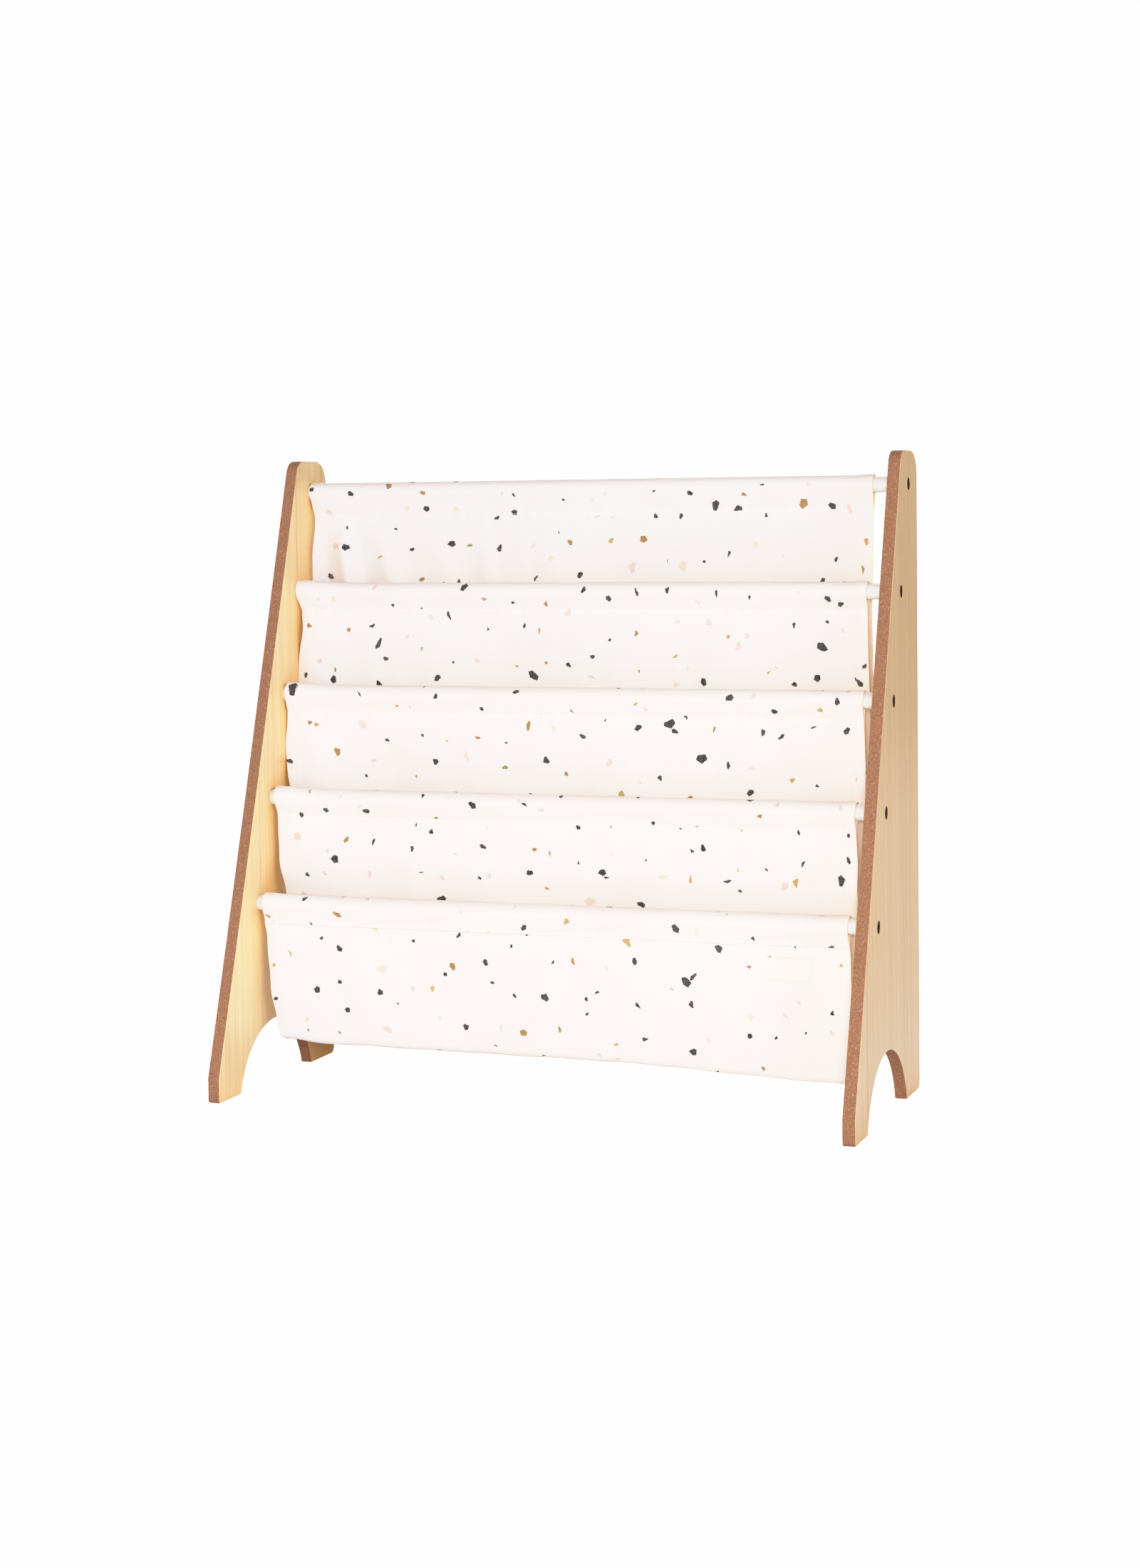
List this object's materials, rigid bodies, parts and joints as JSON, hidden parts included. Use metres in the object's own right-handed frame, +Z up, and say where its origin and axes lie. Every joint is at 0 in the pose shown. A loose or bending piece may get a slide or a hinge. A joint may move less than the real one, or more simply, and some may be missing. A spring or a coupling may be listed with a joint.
{
  "type": "sling bookshelf",
  "caption": "Child's sling bookshelf: two slanted side panels joined by round rods that carry a sewn printed cloth in open hanging pockets for picture books.",
  "frame": {"origin": "on the floor, under the middle of the overall width and depth", "axes": "+X to the right across the width as seen from the front, -Y towards the front where the books are taken out, +Z up"},
  "size_m": [0.628, 0.262, 0.61],
  "materials": {
    "panel": "light wood-grain faces with bare red-brown board edges, satin",
    "rod": "white satin paint",
    "bolt": "dark bronze plating, satin",
    "insert": "plain turned brass",
    "cloth": "off-white plain-weave cotton printed with small scattered chips",
    "label": "plain woven tape, bare"
  },
  "bodies": {
    "root": {"side_panel_left": "panel", "side_panel_right": "panel", "rod_1": "rod", "rod_2": "rod", "rod_3": "rod", "rod_4": "rod", "rod_5": "rod", "bolt_left_1": "bolt", "insert_left_1": "insert", "bolt_right_1": "bolt", "insert_right_1": "insert", "bolt_left_2": "bolt", "insert_left_2": "insert", "bolt_right_2": "bolt", "insert_right_2": "insert", "bolt_left_3": "bolt", "insert_left_3": "insert", "bolt_right_3": "bolt", "insert_right_3": "insert", "bolt_left_4": "bolt", "insert_left_4": "insert", "bolt_right_4": "bolt", "insert_right_4": "insert", "bolt_left_5": "bolt", "insert_left_5": "insert", "bolt_right_5": "bolt", "insert_right_5": "insert", "sleeve_1": "cloth", "sleeve_2": "cloth", "sleeve_3": "cloth", "sleeve_4": "cloth", "sleeve_5": "cloth", "pocket_1": "cloth", "pocket_2": "cloth", "pocket_3": "cloth", "pocket_4": "cloth", "label": "label"}
  },
  "joints": []
}
